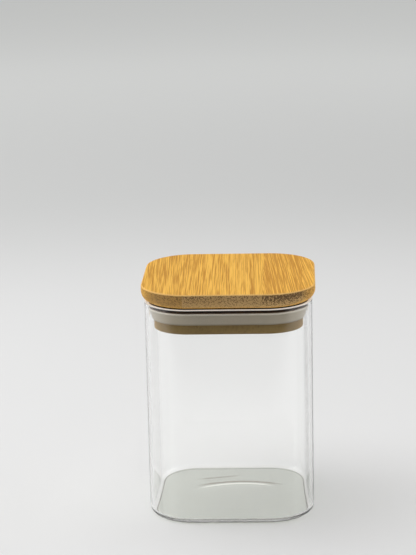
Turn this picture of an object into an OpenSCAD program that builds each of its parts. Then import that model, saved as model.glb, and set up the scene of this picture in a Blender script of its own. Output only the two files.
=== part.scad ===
// Square glass spice jar with a bamboo plug lid and a silicone seal.
// Millimetres, +Z up, origin at the middle of the foot.

/* [Glass jar] */
// Outer width and depth of the glass
jar_w = 77; // [73:0.5:90]
// Height of the glass, foot to rim
jar_h = 102.5; // [60:0.5:180]
// Outer corner radius of the glass, seen from above
jar_corner_r = 20.8; // [17:0.1:24]
// Thickness of the glass wall
wall_t = 1.5; // [1.2:0.1:2.5]
// Thickness of the glass floor
floor_t = 2; // [1.5:0.1:6]
// Outer radius where the wall turns into the foot
foot_r = 3.8; // [2:0.1:6]
// Inner radius where the wall turns into the floor
floor_fillet_r = 1.5; // [1:0.1:5]
// Radius that melts the edges of the rim
rim_r = 0.55; // [0.3:0.05:0.55]

/* [Lid board] */
// How far the board stands out past the glass, each side
board_overhang = 1.5; // [0.5:0.1:4]
// Thickness of the board
board_t = 7.3; // [6:0.1:12]
// Radius of the bullnose under the board
bullnose_r = 4.5; // [2:0.1:4.8]
// Radius of the eased upper edge
arris_r = 0.8; // [0.3:0.1:1.1]
// Gap between the rim and the board
rim_gap = 0.2; // [0.1:0.05:0.6]

/* [Plug] */
// Gap between the plug and the glass wall, each side
plug_gap = 2.75; // [1:0.05:4]
// Plug height above the seal's groove
plug_neck_h = 2; // [1:0.1:5]
// Plug height below the seal's groove
plug_lip_h = 4.4; // [2:0.1:10]
// Depth of the seal's groove
groove_depth = 2.2; // [1:0.1:3]
// Radius that eases the plug's lower edge
plug_edge_r = 0.4; // [0.2:0.1:1]
// Height from the plug's lower face to the glue line between its layers
plug_layer_h = 6.3; // [5:0.1:9]

/* [Seal] */
// Height of the silicone seal
seal_h = 6.1; // [4:0.1:10]
// Gap between the seal's lip and the glass, each side
seal_gap = 0.25; // [0.1:0.05:0.6]
// How much further in the seal's lower edge lies than its lip
seal_taper = 1.7; // [0.5:0.1:2.2]
// Height of the upright band at the top of the lip
seal_band_h = 1.2; // [0.6:0.1:2]
// Radius of the lip's upper edge
seal_edge_r = 0.6; // [0.2:0.1:0.9]
// Play between the seal and the walls of its groove
seal_seat_gap = 0.05; // [0.03:0.01:0.15]

/* [Bamboo strips] */
// Width of one bamboo strip
strip_w = 18; // [17:0.5:18.5]
// Glue joint right of the middle in the board
board_joint_x = 16; // [14.5:0.5:17]
// Glue joint right of the middle in the plug's upper layer
neck_joint_x = 7; // [6:0.5:9]
// Glue joint right of the middle in the plug's lower layer
lip_joint_x = 10; // [8:0.5:11]

/* [Hidden] */
$fn = 96;

// Every outline is a square with round corners about these four axes
corner_axis = jar_w / 2 - jar_corner_r;

// Radii from a corner axis, so that all outlines run parallel
glass_out_r = jar_corner_r;
glass_in_r = jar_corner_r - wall_t;
board_r = jar_corner_r + board_overhang;
plug_r = glass_in_r - plug_gap;
groove_r = plug_r - groove_depth;
lip_r = glass_in_r - seal_gap;
seal_in_r = groove_r + seal_seat_gap;

// Heights, from the top down
board_z = jar_h + rim_gap;
groove_h = seal_h + 2 * seal_seat_gap;
groove_top_z = board_z - plug_neck_h;
groove_z = groove_top_z - groove_h;
plug_z = groove_z - plug_lip_h;
layer_z = plug_z + plug_layer_h;
seal_z = groove_z + seal_seat_gap;

// Glue joints of a layer, left to right, from its joint right of the middle
function joints(joint_x) = [for (k = [-2 : 1]) joint_x + k * strip_w];
reach = board_r + corner_axis + 1;

// What lies outside a quarter circle, to round off a square corner
module corner_cut(r) {
    difference() {
        square(2 * r);
        circle(r);
    }
}

// Half section from a corner axis out to r, its lower and upper edges rounded
module edge_section(r, h, low_r, high_r) {
    difference() {
        square([r, h]);
        translate([r - low_r, low_r]) mirror([0, 1]) corner_cut(low_r);
        translate([r - high_r, h - high_r]) corner_cut(high_r);
    }
}

// Carries a half section round the four corners and along the four sides
module round_square() {
    for (turn = [0 : 90 : 270]) rotate(turn) translate([corner_axis, corner_axis, 0]) {
        rotate_extrude(angle = 90) children();
        rotate([90, 0, 0]) linear_extrude(2 * corner_axis) children();
    }
}

// The square block between the four corner axes
module middle_block(h) {
    translate([-corner_axis, -corner_axis, 0]) cube([2 * corner_axis, 2 * corner_axis, h]);
}

module jar_section() {
    inner_h = jar_h - floor_t;
    difference() {
        edge_section(glass_out_r, jar_h, foot_r, rim_r);
        translate([0, floor_t]) difference() {
            square([glass_in_r, inner_h + 1]);
            translate([glass_in_r - floor_fillet_r, floor_fillet_r]) mirror([0, 1]) corner_cut(floor_fillet_r);
        }
        translate([glass_in_r + rim_r, jar_h - rim_r]) mirror([1, 0]) corner_cut(rim_r);
    }
}

module jar_glass() {
    color([0.80, 0.86, 0.84, 0.35]) union() {
        round_square() jar_section();
        middle_block(floor_t);
    }
}

// Section of the seal: a tapered lip that widens to an upright band, round at the top
module seal_section() {
    low_r = lip_r - seal_taper;
    band_z = seal_h - seal_band_h;
    difference() {
        polygon([[seal_in_r, 0], [low_r, 0], [lip_r, band_z], [lip_r, seal_h], [seal_in_r, seal_h]]);
        translate([lip_r - seal_edge_r, seal_h - seal_edge_r]) corner_cut(seal_edge_r);
    }
}

module seal_ring() {
    color([0.80, 0.77, 0.72]) translate([0, 0, seal_z]) round_square() seal_section();
}

module board_blank() {
    translate([0, 0, board_z]) {
        round_square() edge_section(board_r, board_t, bullnose_r, arris_r);
        middle_block(board_t);
    }
}

// Plug layer above the glue line: the upper part of the groove, and the neck
module neck_blank() {
    neck_z = groove_top_z - layer_z;
    layer_t = board_z - layer_z;
    translate([0, 0, layer_z]) {
        round_square() {
            square([groove_r, layer_t]);
            translate([0, neck_z]) square([plug_r, plug_neck_h]);
        }
        middle_block(layer_t);
    }
}

// Plug layer below the glue line: the lip, and the lower part of the groove
module lip_blank() {
    translate([0, 0, plug_z]) {
        round_square() {
            square([groove_r, plug_layer_h]);
            difference() {
                square([plug_r, plug_lip_h]);
                translate([plug_r - plug_edge_r, plug_edge_r]) mirror([0, 1]) corner_cut(plug_edge_r);
            }
        }
        middle_block(plug_layer_h);
    }
}

// Keeps strip i of a layer, between its two glue joints. The outer strips run to the edge
module strip(i, joint_x) {
    edges = concat([-reach], joints(joint_x), [reach]);
    intersection() {
        children();
        translate([edges[i], -reach, 0]) cube([edges[i + 1] - edges[i], 2 * reach, board_z + board_t + 1]);
    }
}

module board_strip(i) {
    color([0.86, 0.64, 0.32]) strip(i - 1, board_joint_x) board_blank();
}

module neck_strip(i) {
    color([0.62, 0.46, 0.28]) strip(i - 1, neck_joint_x) neck_blank();
}

module lip_strip(i) {
    color([0.70, 0.53, 0.34]) strip(i - 1, lip_joint_x) lip_blank();
}

jar_glass();
seal_ring();
board_strip(1);  // board_strip_1
board_strip(2);  // board_strip_2
board_strip(3);  // board_strip_3
board_strip(4);  // board_strip_4
board_strip(5);  // board_strip_5
neck_strip(1);  // neck_strip_1
neck_strip(2);  // neck_strip_2
neck_strip(3);  // neck_strip_3
neck_strip(4);  // neck_strip_4
neck_strip(5);  // neck_strip_5
lip_strip(1);  // lip_strip_1
lip_strip(2);  // lip_strip_2
lip_strip(3);  // lip_strip_3
lip_strip(4);  // lip_strip_4
lip_strip(5);  // lip_strip_5
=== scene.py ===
import math

import bmesh
import bpy
from mathutils import Matrix, Vector


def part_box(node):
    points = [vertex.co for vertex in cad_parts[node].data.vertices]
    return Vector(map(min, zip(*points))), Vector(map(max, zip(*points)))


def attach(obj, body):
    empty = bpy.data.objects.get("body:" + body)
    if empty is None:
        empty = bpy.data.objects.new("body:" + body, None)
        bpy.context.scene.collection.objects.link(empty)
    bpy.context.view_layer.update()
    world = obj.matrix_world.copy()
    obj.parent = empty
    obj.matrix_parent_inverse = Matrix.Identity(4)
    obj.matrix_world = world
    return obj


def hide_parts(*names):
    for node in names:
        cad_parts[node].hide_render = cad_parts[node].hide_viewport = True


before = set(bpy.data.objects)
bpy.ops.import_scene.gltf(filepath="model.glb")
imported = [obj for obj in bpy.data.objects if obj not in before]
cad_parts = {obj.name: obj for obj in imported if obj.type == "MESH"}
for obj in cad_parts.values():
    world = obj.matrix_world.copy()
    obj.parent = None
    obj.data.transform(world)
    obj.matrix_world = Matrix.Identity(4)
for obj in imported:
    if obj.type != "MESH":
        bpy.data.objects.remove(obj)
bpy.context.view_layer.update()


# Camera. A long lens on a tripod, a little above the lid and almost square to the front.
# Its place and turn come from the outlines of lid, plug and foot.
camera_place = Vector((0.03321, -0.91376, 0.33663))
camera_lens_mm = 131.0
camera_sensor_mm = 36.0
camera_clip_start = 0.01
camera_tilt = math.radians(14.03)
camera_yaw = math.radians(-2.70)
camera_roll = math.radians(-1.29)

forward = Vector((
    math.sin(camera_yaw) * math.cos(camera_tilt),
    math.cos(camera_yaw) * math.cos(camera_tilt),
    -math.sin(camera_tilt),
))
level_right = Vector((math.cos(camera_yaw), -math.sin(camera_yaw), 0))
level_up = level_right.cross(forward)
right = math.cos(camera_roll) * level_right + math.sin(camera_roll) * level_up
up = math.cos(camera_roll) * level_up - math.sin(camera_roll) * level_right
bpy.ops.object.camera_add(location=camera_place)
camera = bpy.context.object
camera.name = "camera"
camera.rotation_euler = Matrix((right, up, -forward)).transposed().to_euler()
camera.data.lens = camera_lens_mm
camera.data.sensor_width = camera_sensor_mm
camera.data.clip_start = camera_clip_start
bpy.context.scene.camera = camera


# Studio. Pale paper laid flat, far past the jar on all sides, with one broad softbox overhead, one at
# each side and a dim room around. What is seen straight through the glass is a little brighter, and in
# reflections the paper in front of the jar is painted dark, a painted reflection of shade.
class Socket:
    """One output of a node. Sums written on it become Math nodes."""

    def __init__(self, finish, link):
        self.finish = finish
        self.link = link

    def math(self, operation, first, second):
        return self.finish.node("ShaderNodeMath", {"operation": operation}, {0: first, 1: second})

    def __add__(self, other):
        return self.math("ADD", self, other)

    def __radd__(self, other):
        return self.math("ADD", other, self)

    def __sub__(self, other):
        return self.math("SUBTRACT", self, other)

    def __rsub__(self, other):
        return self.math("SUBTRACT", other, self)

    def __mul__(self, other):
        return self.math("MULTIPLY", self, other)

    def __rmul__(self, other):
        return self.math("MULTIPLY", other, self)

    def __abs__(self):
        return self.math("ABSOLUTE", self, 0)


class Finish:
    """A material, or the light of the room, made of the few kinds of node that these need."""

    def __init__(self, owner, output="ShaderNodeOutputMaterial"):
        self.owner = owner
        self.owner.use_nodes = True
        self.tree = self.owner.node_tree
        self.tree.nodes.clear()
        self.output = self.tree.nodes.new(output)

    def node(self, kind, settings, sockets, output=0):
        node = self.tree.nodes.new(kind)
        for name, value in settings.items():
            setattr(node, name, value)
        for name, value in sockets.items():
            if isinstance(value, Socket):
                self.tree.links.new(value.link, node.inputs[name])
            else:
                node.inputs[name].default_value = value
        return Socket(self, node.outputs[output])

    def place(self, scale, turn=0.0, shift=(0, 0, 0)):
        """The piece's own coordinates, shifted and turned about Z, then scaled per axis."""
        where = self.node("ShaderNodeTexCoord", {}, {}, "Object")
        moved = {"Vector": where, "Location": shift, "Rotation": (0, 0, turn)}
        turned = self.node("ShaderNodeMapping", {}, moved)
        return self.node("ShaderNodeMapping", {}, {"Vector": turned, "Scale": scale})

    def along(self, axis, of="Object"):
        """X, Y or Z of the piece's own coordinates, or of the way its surface faces."""
        where = self.node("ShaderNodeTexCoord", {}, {}, of)
        return self.node("ShaderNodeSeparateXYZ", {}, {"Vector": where}, axis)

    def ray(self, question):
        return self.node("ShaderNodeLightPath", {}, {}, question)

    def vector(self, operation, *values, output=0):
        return self.node("ShaderNodeVectorMath", {"operation": operation}, dict(enumerate(values)), output)

    def noise(self, scale, turn=0.0, shift=(0, 0, 0), detail=2.0):
        vector = self.place(scale, turn, shift)
        sockets = {"Vector": vector, "Scale": 1.0, "Detail": detail, "Roughness": 0.6}
        return self.node("ShaderNodeTexNoise", {}, sockets, "Fac")

    def step(self, value, low, high, to_low=0.0, to_high=1.0):
        """A soft step: to_low below low, to_high above high."""
        sockets = {"Value": value, "From Min": low, "From Max": high, "To Min": to_low, "To Max": to_high}
        return self.node("ShaderNodeMapRange", {"interpolation_type": "SMOOTHSTEP"}, sockets)

    def fade(self, value, low, high):
        """A soft step down: 1 below low, 0 above high."""
        return self.step(value, low, high, 1.0, 0.0)

    def mix(self, factor, first, second):
        """From the first colour to the second. They are sockets 6 and 7 of a Mix node, and 2 comes out."""
        sockets = {0: factor}
        for place, colour in ((6, first), (7, second)):
            sockets[place] = colour if isinstance(colour, Socket) else (*colour, 1.0)
        return self.node("ShaderNodeMix", {"data_type": "RGBA"}, sockets, 2)

    def bump(self, height, strength, distance):
        sockets = {"Height": height, "Strength": strength, "Distance": distance}
        return self.node("ShaderNodeBump", {}, sockets, "Normal")

    def principled(self, sockets):
        return self.node("ShaderNodeBsdfPrincipled", {}, sockets)

    def surface(self, shader):
        self.tree.links.new(shader.link, self.output.inputs["Surface"])
        return self.owner


black = (0.0, 0.0, 0.0)
white = (1.0, 1.0, 1.0)
sweep_size = 14.0
sweep_drop = 0.0002
sweep_colour = (0.80, 0.80, 0.80)
sweep_far_colour = (0.72, 0.725, 0.72)
sweep_far_reach = (0.35, 0.75)
sweep_glow = (0.30, 0.305, 0.30)
sweep_glow_reach = (0.5, 1.55)
sweep_glow_through_glass = 0.07
front_reflection_shade = (0.02, 0.02, 0.02)
front_edge_y = (-0.32, -0.16)
speck_cells = (60, 60, 60)
noise_span = (0.2, 0.8)
paper_roughness = (0.85, 0.95)
none_to_one = (0.4, 0.6)
bpy.ops.object.select_all(action="DESELECT")
bpy.ops.mesh.primitive_plane_add(size=sweep_size, location=(0, 0, -sweep_drop))
sweep = bpy.context.object
sweep.name = "sweep"
bpy.ops.object.transform_apply(location=True, rotation=True, scale=True)

paper = Finish(bpy.data.materials.new("studio_paper"))
speck = paper.noise(speck_cells)
distance = paper.vector("LENGTH", paper.place((1, 1, 0)), output="Value")
far_colour = paper.mix(paper.step(distance, *sweep_far_reach), sweep_colour, sweep_far_colour)
reflected = paper.step(paper.ray("Glossy Depth"), *none_to_one)
# Painted shade in reflections: where a glossy ray sees the paper in front of the jar, it is painted almost
# black.
painted_dark_front_reflection = reflected * paper.fade(paper.along("Y"), *front_edge_y)
through_glass = paper.ray("Is Transmission Ray") * (1 - reflected)
seen = paper.ray("Is Camera Ray") + through_glass
paper_glow = paper.mix(seen * paper.step(distance, *sweep_glow_reach), black, sweep_glow)
paper_shader = paper.principled({
    "Base Color": paper.mix(painted_dark_front_reflection, far_colour, front_reflection_shade),
    "Roughness": paper.step(speck, *noise_span, *paper_roughness),
    "Specular IOR Level": 0.1,
    "Emission Color": paper.mix(through_glass * sweep_glow_through_glass, paper_glow, white),
    "Emission Strength": 1.0,
})
sweep.data.materials.append(paper.surface(paper_shader))

softboxes = {
    "softbox_top": {"place": (-0.25, 0.08, 1.15), "size": (1.3, 1.3), "watts": 11.4},
    "softbox_left": {"place": (-1.0, 0.1, 0.45), "size": (0.7, 0.8), "watts": 2.5},
    "softbox_right": {"place": (1.0, 0.1, 0.45), "size": (0.7, 0.8), "watts": 2.4},
}
softbox_target = Vector((0, 0, 0.05))
for softbox_name, softbox in softboxes.items():
    bpy.ops.object.light_add(type="AREA", location=softbox["place"])
    lamp = bpy.context.object
    lamp.name = softbox_name
    lamp.data.shape = "RECTANGLE"
    lamp.data.size, lamp.data.size_y = softbox["size"]
    lamp.data.energy = softbox["watts"]
    aim = softbox_target - Vector(softbox["place"])
    lamp.rotation_euler = aim.to_track_quat("-Z", "Y").to_euler()

room_colour = (1.0, 1.0, 0.99, 1.0)
room_level = 0.27
room_level_through_glass = 1.0
room = Finish(bpy.data.worlds.new("studio_room"), "ShaderNodeOutputWorld")
room_strength = room.node("ShaderNodeMapRange", {}, {
    "Value": room.ray("Is Transmission Ray"),
    "To Min": room_level,
    "To Max": room_level_through_glass,
})
room_light = room.node("ShaderNodeBackground", {}, {"Color": room_colour, "Strength": room_strength})
bpy.context.scene.world = room.surface(room_light)
bpy.context.scene.view_settings.view_transform = "Standard"


# Glass jar. Clear blown glass, square with round corners, with a flat foot and a rim melted round.
# Every outline of jar and lid turns its corners about the same four upright axes.
jar_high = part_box("jar_glass")[1]
jar_height = jar_high[2]
glass_corner_r = 0.0208
corner_axis = jar_high[0] - glass_corner_r
corner_steps = 24
wall = 0.0015
floor_thickness = 0.002
foot_r = 0.0038
floor_fillet_r = 0.0015
rim_r = 0.00055


def spread_selected(radius, height):
    """Sets the selected outline at a radius about the corner axes and at a height."""
    mesh = bmesh.from_edit_mesh(bpy.context.object.data)
    for vertex in mesh.verts:
        if not vertex.select:
            continue
        nearest_x = max(-corner_axis, min(corner_axis, vertex.co.x))
        nearest_y = max(-corner_axis, min(corner_axis, vertex.co.y))
        out = Vector((vertex.co.x - nearest_x, vertex.co.y - nearest_y, 0))
        vertex.co = Vector((nearest_x, nearest_y, height)) + out.normalized() * radius
    bmesh.update_edit_mesh(bpy.context.object.data)


def walk_section(name, section, side_cuts=0):
    """Starts a rounded square at the section's first point and extrudes its face along the others."""
    first_r, first_z = section[0]
    bpy.ops.object.select_all(action="DESELECT")
    bpy.ops.mesh.primitive_plane_add(size=2 * (corner_axis + first_r), location=(0, 0, 0))
    piece = bpy.context.object
    piece.name = name
    bpy.ops.object.mode_set(mode="EDIT")
    bpy.ops.mesh.bevel(offset=first_r, segments=corner_steps, affect="VERTICES")
    if side_cuts:
        outline = bmesh.from_edit_mesh(piece.data)
        for edge in outline.edges:
            edge.select_set(edge.calc_length() > corner_axis)
        bmesh.update_edit_mesh(piece.data)
        bpy.ops.mesh.subdivide(number_cuts=side_cuts)
    bpy.ops.mesh.select_all(action="SELECT")
    spread_selected(first_r, first_z)
    for radius, height in section[1:]:
        bpy.ops.mesh.extrude_region_move()
        spread_selected(radius, height)
    return piece


def quarter(centre_r, centre_z, radius, start, turn, steps=5):
    """Points of a quarter round in the section, from a start angle in degrees."""
    angles = [math.radians(start + turn * k / steps) for k in range(steps + 1)]
    return [(centre_r + radius * math.cos(a), centre_z + radius * math.sin(a)) for a in angles]


def finish_mesh(piece, smooth_degrees=35):
    """Turns the faces outward, shades round faces smooth and keeps the flats flat."""
    bpy.ops.object.mode_set(mode="EDIT")
    bpy.ops.mesh.select_all(action="SELECT")
    bpy.ops.mesh.normals_make_consistent(inside=False)
    bpy.ops.object.mode_set(mode="OBJECT")
    bpy.ops.object.shade_smooth_by_angle(angle=math.radians(smooth_degrees))
    even = piece.modifiers.new("even", "WEIGHTED_NORMAL")
    even.keep_sharp = True
    bpy.ops.object.modifier_apply(modifier=even.name)


inner_r = glass_corner_r - wall
flat_r = inner_r - floor_fillet_r
border_step = 0.001
border_rings = 16
floor_rings = 24
side_cuts = 31
jar_section = (
    quarter(glass_corner_r - foot_r, foot_r, foot_r, -90, 90, steps=10)
    + quarter(glass_corner_r - rim_r, jar_height - rim_r, rim_r, 0, 90)
    + quarter(inner_r + rim_r, jar_height - rim_r, rim_r, 90, 90)
    + quarter(flat_r, floor_thickness + floor_fillet_r, floor_fillet_r, 0, -90, steps=10)
    + [(flat_r - border_step * k, floor_thickness) for k in range(1, border_rings + 1)]
)
jar = walk_section("clear_jar", jar_section, side_cuts)
for ring in range(floor_rings - 1):
    shrink = 1 - 1 / (floor_rings - ring)
    bpy.ops.mesh.extrude_region_move()
    bpy.ops.transform.resize(value=(shrink, shrink, 1))
bpy.ops.mesh.poke()

# The floor's upper face sagged a little unevenly as the glass cooled, with one long arched ripple.
ripple_x = 0.004
ripple_y = 0.0125
ripple_arch = 15.3
ripple_width = 0.0022
ripple_height = 0.00006
ripple_reach = 0.026
floor_tolerance = 0.0001
jar_mesh = bmesh.from_edit_mesh(jar.data)
for vertex in jar_mesh.verts:
    inside = max(abs(vertex.co.x), abs(vertex.co.y)) < corner_axis + flat_r
    if inside and abs(vertex.co.z - floor_thickness) < floor_tolerance:
        bend = ripple_y - ripple_arch * (vertex.co.x - ripple_x) ** 2
        across = (vertex.co.y - bend) / ripple_width
        lengthwise = max(0.0, 1 - (vertex.co.x / ripple_reach) ** 2)
        vertex.co.z -= ripple_height * lengthwise * math.exp(-across * across)
bmesh.update_edit_mesh(jar.data)
finish_mesh(jar)

wave_cells = (14, 14, 5)
glass_colours = ((0.990, 0.992, 0.988), (0.994, 0.995, 0.992))
glass = Finish(bpy.data.materials.new("clear_glass"))
glass_x = glass.along("X")
glass_y = glass.along("Y")
glass_z = glass.along("Z")
glass_wave = glass.noise(wave_cells, detail=1.0)
outside = glass.vector("ABSOLUTE", glass.place((1, 1, 0)))
outside = glass.vector("SUBTRACT", outside, (corner_axis, corner_axis, 0))
outside = glass.vector("MAXIMUM", outside, (0, 0, 0))
from_axis = glass.vector("LENGTH", outside, output="Value")

# The foot is outlined by a painted dark brown shade line, and the floor inside is painted grey-green,
# partly the glass's own tint and partly painted shade.
foot_shade_line_r = 0.0176
foot_shade_line_width = 0.00022
foot_shade_line_top = (0.0008, 0.0012)
foot_shade_line_colour = (0.05, 0.036, 0.02)
floor_tint_and_shade = (0.72, 0.732, 0.70)
floor_tint_and_shade_top = (0.0022, 0.0032)
floor_tint_and_shade_edge = (0.0170, 0.0176)
painted_foot_shade_line = glass.fade(abs(from_axis - foot_shade_line_r), foot_shade_line_width, 2 * foot_shade_line_width)
painted_foot_shade_line = painted_foot_shade_line * glass.fade(glass_z, *foot_shade_line_top)
in_floor = glass.fade(glass_z, *floor_tint_and_shade_top) * glass.fade(from_axis, *floor_tint_and_shade_edge)

# The ripple bends light, and this is painted on: a pale streak that glows as a painted highlight,
# a brown painted shade just behind it and a straight one at the back.
# A streak is full up to the first half width or half length, and gone at the second.
streak_bottom = (0.0012, 0.0015)
pale_streak_painted_glow = (0.34, 0.34, 0.33)
brown_streak_painted_shade = (0.26, 0.20, 0.14)
brown_behind = 0.0026
brown_flatter = 0.8
back_behind = 0.0105
back_slope = 0.25
back_strength = 0.8


def streak(line_y, half_width, middle_x, half_length):
    """A soft mask for a painted streak on the floor's upper face, along the line where Y is line_y."""
    across_line = glass.fade(abs(glass_y - line_y), *half_width)
    along_line = glass.fade(abs(glass_x - middle_x), *half_length)
    return across_line * along_line * glass.step(glass_z, *streak_bottom)


arch = (glass_x - ripple_x) * (glass_x - ripple_x) * ripple_arch
brown_y = ripple_y + brown_behind - arch * brown_flatter
back_y = ripple_y + back_behind + glass_x * back_slope
painted_pale_streak = streak(ripple_y - arch, half_width=(0.0004, 0.0012), middle_x=0.001, half_length=(0.012, 0.020))
painted_brown_streak = streak(brown_y, half_width=(0.0004, 0.0015), middle_x=0.003, half_length=(0.014, 0.023))
painted_back_streak = streak(back_y, half_width=(0.0004, 0.0013), middle_x=-0.0075, half_length=(0.005, 0.012))

glass_colour = glass.mix(glass_wave, *glass_colours)
# Painted shade: the glass floor is darkened grey-green, and the brown streaks are painted in.
glass_colour = glass.mix(in_floor, glass_colour, floor_tint_and_shade)
glass_colour = glass.mix(painted_brown_streak + painted_back_streak * back_strength, glass_colour, brown_streak_painted_shade)
glass_shader = glass.principled({
    # Painted shade: a dark brown line painted around the foot.
    "Base Color": glass.mix(painted_foot_shade_line, glass_colour, foot_shade_line_colour),
    "Roughness": 0.0,
    "IOR": 1.47,
    "Specular IOR Level": 0.25,
    "Transmission Weight": 1.0,
    "Normal": glass.bump(glass_wave, strength=0.25, distance=0.0008),
    # Painted highlight: the pale streak glows, though it is no lamp.
    "Emission Color": glass.mix(painted_pale_streak, black, pale_streak_painted_glow),
    "Emission Strength": 1.0,
})

# The melted rim is cloudy and catches the light; its bright line is also a painted highlight, painted pale
# and glowing a little.
cloud_from = 0.0005
cloud_full = 0.0002
cloud_share = 0.8
rim_cloud_and_highlight_colours = ((0.80, 0.79, 0.75), (0.86, 0.85, 0.82))
rim_painted_glows = ((0.40, 0.39, 0.37), (0.46, 0.45, 0.43))
rim_cloud_and_highlight = glass.step(glass_z, jar_height - cloud_from, jar_height - cloud_full, 0.0, cloud_share)
rim_shader = glass.principled({
    "Base Color": glass.mix(glass_wave, *rim_cloud_and_highlight_colours),
    "Roughness": 0.6,
    # Painted highlight: the rim gives off a little light of its own.
    "Emission Color": glass.mix(glass_wave, *rim_painted_glows),
    "Emission Strength": 1.0,
})

# To light that casts shadows the glass is only a pale tint.
shadow_tint = (0.905, 0.915, 0.895, 1.0)
glass_body = glass.node("ShaderNodeMixShader", {}, {0: rim_cloud_and_highlight, 1: glass_shader, 2: rim_shader})
glass_tint = glass.node("ShaderNodeBsdfTransparent", {}, {"Color": shadow_tint})
shadow_ray = glass.ray("Is Shadow Ray")
glass_all = glass.node("ShaderNodeMixShader", {}, {0: shadow_ray, 1: glass_body, 2: glass_tint})
jar.data.materials.append(glass.surface(glass_all))
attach(jar, "jar")
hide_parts("jar_glass")


# Lid board. Flat bamboo strips glued edge to edge, cut to a rounded square, its under edge milled to
# a bullnose and its upper edge eased. The grain runs from front to back.
board_low, board_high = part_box("board_strip_3")
board_r = board_high[1] - corner_axis
board_z, board_top = board_low[2], board_high[2]
bullnose_r = 0.0045
arris_r = 0.0008
strip_count = 5
board_section = (
    quarter(board_r - bullnose_r, board_z + bullnose_r, bullnose_r, -90, 90, steps=10)
    + quarter(board_r - arris_r, board_top - arris_r, arris_r, 0, 90)
)


def saw(joint_x, **side_to_clear):
    """Cuts the piece in hand through at a glue joint and drops one side."""
    bpy.ops.mesh.select_all(action="SELECT")
    bpy.ops.mesh.bisect(plane_co=(joint_x, 0, 0), plane_no=(1, 0, 0), use_fill=True, **side_to_clear)


def cut_strips(blank, layer):
    """Saws copies of the blank at its glue joints, one piece for each strip of the layer."""
    pieces = []
    for number in range(1, strip_count + 1):
        node = f"{layer}_{number}"
        low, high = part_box(node)
        bpy.ops.object.mode_set(mode="OBJECT")
        bpy.ops.object.select_all(action="DESELECT")
        blank.select_set(True)
        bpy.context.view_layer.objects.active = blank
        bpy.ops.object.duplicate()
        piece = bpy.context.object
        piece.name = f"bamboo_{node}"
        bpy.ops.object.mode_set(mode="EDIT")
        if number > 1:
            saw(low[0], clear_inner=True)
        if number < strip_count:
            saw(high[0], clear_outer=True)
        finish_mesh(piece)
        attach(piece, "lid")
        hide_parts(node)
        pieces.append(piece)
    bpy.data.objects.remove(blank)
    return pieces


# Grain sizes are cells per metre along X, Y and Z: fibre bundles are long in Y and fine across it.
bundle_grain = (1650, 16, 1650)
fine_grain = (4200, 46, 4200)
streak_grain = (2300, 24, 2300)
broad_grain = (170, 3, 120)
seed_shift = (0.013, 0.31, 0.007)
streak_share, fine_share, broad_share, dot_share = 0.52, 0.33, 0.15, 0.05
dark_edge = (0.46, 0.58)
dot_edge = (0.16, 0.40)
dot_depth = 0.95
end_turn = (0.25, 0.8)
end_shade = 0.75
end_fine_share, end_upper_shade_share = 0.55, 0.3
arris_painted_highlight = (0.98, 0.60, 0.20)
arris_highlight_share = 0.7
arris_tilt_from = (0.10, 0.45)
arris_tilt_to = (0.90, 0.99)
streak_relief, fine_relief, dot_relief = 0.5, 0.5, 0.4
end_roughness = 0.3
rough_span = (0.3, 0.9)
bamboo_roughness = (0.45, 0.75)


def bamboo(name, seed, tone, lean_degrees, dot_size, low_z, high_z, colours):
    """Bamboo in the solid: a face across the fibre bundles shows dots, any other shows streaks.

    The colours are those of light and dark streaks, of the end grain and of its dots. The end grain is
    painted darker toward the top of its layer as painted shade, and the eased edge gets a painted
    highlight.
    """
    light_streak, dark_streak, end_light, end_dot = ([c * tone for c in colour] for colour in colours)
    end_dark = [c * end_shade for c in end_light]
    lean = math.radians(lean_degrees)
    shift = tuple(seed * part for part in seed_shift)
    wood = Finish(bpy.data.materials.new(name))
    cells = {"Vector": wood.place(bundle_grain, lean, shift), "Scale": 1.0, "Randomness": 1.0}
    bundle = wood.node("ShaderNodeTexVoronoi", {}, cells, "Distance")
    fine = wood.noise(fine_grain, lean, shift)
    grain = wood.noise(streak_grain, lean, shift)
    broad = wood.noise(broad_grain, lean, shift)
    upper = wood.step(wood.along("Z"), low_z, high_z)
    end = wood.step(abs(wood.along("Y", of="Normal")), *end_turn)
    dot = wood.fade(bundle - dot_size * upper, *dot_edge)
    shade = streak_share * grain + fine_share * fine + broad_share * broad + dot_share * dot
    long_colour = wood.mix(wood.step(shade, *dark_edge), light_streak, dark_streak)
    # Painted shade: the end grain is painted darker toward the top of its layer.
    end_ground = wood.mix(end_fine_share * fine + end_upper_shade_share * upper, end_light, end_dark)
    end_colour = wood.mix(dot_depth * dot, end_ground, end_dot)
    # Painted highlight: the eased upper edge is painted a lighter orange, as if catching the light.
    tilt = wood.along("Z", of="Normal")
    eased_edge_highlight = wood.step(tilt, *arris_tilt_from) * wood.fade(tilt, *arris_tilt_to)
    relief = streak_relief * grain + fine_relief * fine - dot_relief * dot * end
    return wood.surface(wood.principled({
        "Base Color": wood.mix(eased_edge_highlight * arris_highlight_share, wood.mix(end, long_colour, end_colour), arris_painted_highlight),
        "Roughness": wood.step(fine + end_roughness * end, *rough_span, *bamboo_roughness),
        "Specular IOR Level": 0.2,
        "Normal": wood.bump(relief, strength=0.35, distance=0.0001),
    }))


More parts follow.
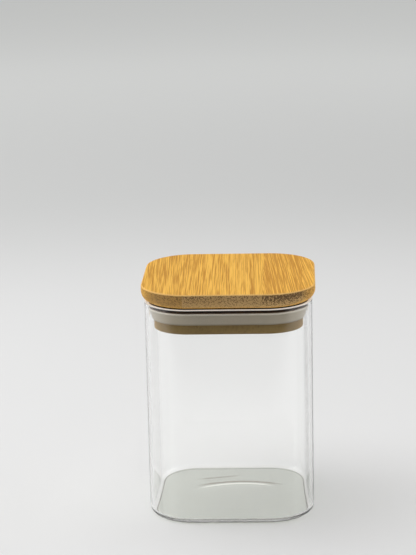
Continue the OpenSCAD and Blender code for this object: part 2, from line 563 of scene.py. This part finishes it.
board_light = (0.92, 0.520, 0.088)
board_dark = (0.55, 0.255, 0.032)
board_dot = (0.15, 0.086, 0.038)
board_strips = (
    {"tone": 0.98, "lean": -2.0, "dot_size": 0.12, "end": (0.54, 0.310, 0.095)},
    {"tone": 1.00, "lean": -1.2, "dot_size": 0.17, "end": (0.60, 0.375, 0.150)},
    {"tone": 0.99, "lean": -1.6, "dot_size": 0.14, "end": (0.62, 0.395, 0.165)},
    {"tone": 1.05, "lean": -3.8, "dot_size": 0.44, "end": (0.62, 0.395, 0.165)},
    {"tone": 1.06, "lean": -5.8, "dot_size": 0.30, "end": (0.60, 0.370, 0.145)},
)
board = walk_section("board_blank", board_section)
for number, strip in enumerate(cut_strips(board, "board_strip")):
    look = board_strips[number]
    strip.data.materials.append(bamboo(
        f"bamboo_board_{number + 1}", number + 1, look["tone"], look["lean"], look["dot_size"],
        board_z, board_top, (board_light, board_dark, look["end"], board_dot),
    ))


# Plug. Two more layers of strips glued under the board, milled to fit the mouth. The seal's groove
# is cut across the glue line between them.
neck_low, neck_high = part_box("neck_strip_3")
lip_low, lip_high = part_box("lip_strip_3")
plug_r = neck_high[1] - corner_axis
groove_depth = 0.0022
neck_height = 0.002
lip_height = 0.0044
plug_edge_r = 0.0004
groove_r = plug_r - groove_depth
neck_section = [
    (groove_r, neck_low[2]), (groove_r, neck_high[2] - neck_height),
    (plug_r, neck_high[2] - neck_height), (plug_r, neck_high[2]),
]
lip_section = (
    quarter(plug_r - plug_edge_r, lip_low[2] + plug_edge_r, plug_edge_r, -90, 90)
    + [(plug_r, lip_low[2] + lip_height), (groove_r, lip_low[2] + lip_height), (groove_r, lip_high[2])]
)
# Painted shade: both plug layers are painted darker than the board, the neck under it about a fifth as
# light as the lip.
neck_shaded_tone = 0.12
lip_shaded_tone = 0.57
tone_spread, tone_turn = 0.06, 2.4
lean_spread, lean_turn = 1.5, 3.1
plug_seed = 6
plug_dot_size = 0.12
plug_colours = ((0.66, 0.42, 0.14), (0.50, 0.29, 0.08), (0.50, 0.34, 0.13), (0.26, 0.16, 0.06))
for layer, section, low, high, layer_tone_and_shade in (
    ("neck_strip", neck_section, neck_low, neck_high, neck_shaded_tone),
    ("lip_strip", lip_section, lip_low, lip_high, lip_shaded_tone),
):
    plug_blank = walk_section("plug_blank", section)
    for number, strip in enumerate(cut_strips(plug_blank, layer)):
        strip_tone = layer_tone_and_shade * (1 + tone_spread * math.cos(tone_turn * number))
        strip_lean = lean_spread * math.sin(lean_turn * number)
        strip.data.materials.append(bamboo(
            f"bamboo_{layer}_{number + 1}", plug_seed + number, strip_tone, strip_lean, plug_dot_size,
            low[2], high[2], plug_colours,
        ))


# Seal. One ring of milky silicone, moulded with a lip that widens upward to the glass, and
# stretched over the plug into its groove.
seal_low, seal_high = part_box("seal_ring")
seal_base, seal_top = seal_low[2], seal_high[2]
lip_r = seal_high[1] - corner_axis
seal_taper = 0.0017
seal_toe = 0.0002
seal_step = 0.00035
seal_step_height = 0.0001
seal_band = 0.0012
seal_edge_r = 0.0006
seal_seat_gap = 0.00005
seal_weld = 0.000001
seal_inner_r = groove_r + seal_seat_gap
seal_section = (
    [(seal_inner_r, seal_base), (lip_r - seal_taper - seal_toe, seal_base)]
    + [(lip_r - seal_taper, seal_base + seal_toe), (lip_r - seal_step, seal_top - seal_band)]
    + [(lip_r, seal_top - seal_band + seal_step_height)]
    + quarter(lip_r - seal_edge_r, seal_top - seal_edge_r, seal_edge_r, 0, 90, steps=6)
    + [(seal_inner_r, seal_top), (seal_inner_r, seal_base)]
)
seal = walk_section("silicone_seal", seal_section)
bpy.ops.mesh.delete(type="ONLY_FACE")
seal_mesh = bmesh.from_edit_mesh(seal.data)
for face in list(seal_mesh.faces):
    if len(face.verts) > 4:
        seal_mesh.faces.remove(face)
bmesh.update_edit_mesh(seal.data)
bpy.ops.mesh.select_all(action="SELECT")
bpy.ops.mesh.remove_doubles(threshold=seal_weld)
finish_mesh(seal)

cloud_cells = (180, 180, 320)
bloom_cells = (1400, 1400, 1400)
milky_colours = ((0.465, 0.410, 0.320), (0.525, 0.470, 0.375))
# Painted light on the seal: painted shade along its toe, a painted highlight below its top edge, and on
# the top face painted shade with a painted reflection of the dark neck.
toe_shade_colour = (0.34, 0.29, 0.22)
toe_shade_height = (0.0003, 0.0009)
crest_highlight_colour = (0.70, 0.65, 0.56)
crest_highlight_depth = (0.0013, 0.0010)
shaded_colour = (0.08, 0.05, 0.03)
shaded_depth = (0.0005, 0.0001)
seal_roughness = (0.28, 0.42)
silicone = Finish(bpy.data.materials.new("milky_silicone"))
seal_z = silicone.along("Z")
cloud = silicone.noise(cloud_cells)
bloom = silicone.noise(bloom_cells)
toe_shade = silicone.fade(seal_z, *(seal_base + height for height in toe_shade_height))
crest_highlight = silicone.step(seal_z, *(seal_top - depth for depth in crest_highlight_depth))
shaded = silicone.step(seal_z, *(seal_top - depth for depth in shaded_depth))
seal_colour = silicone.mix(cloud, *milky_colours)
seal_colour = silicone.mix(toe_shade, seal_colour, toe_shade_colour)
seal_colour = silicone.mix(crest_highlight, seal_colour, crest_highlight_colour)
seal_colour = silicone.mix(shaded, seal_colour, shaded_colour)
silicone_shader = silicone.principled({
    "Base Color": seal_colour,
    "Roughness": silicone.step(bloom, *noise_span, *seal_roughness),
    "Subsurface Weight": 0.4,
    "Subsurface Radius": (0.002, 0.0018, 0.0015),
    "Subsurface Scale": 1.0,
    "Normal": silicone.bump(bloom, strength=0.15, distance=0.0001),
})
seal.data.materials.append(silicone.surface(silicone_shader))
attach(seal, "lid")
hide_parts("seal_ring")
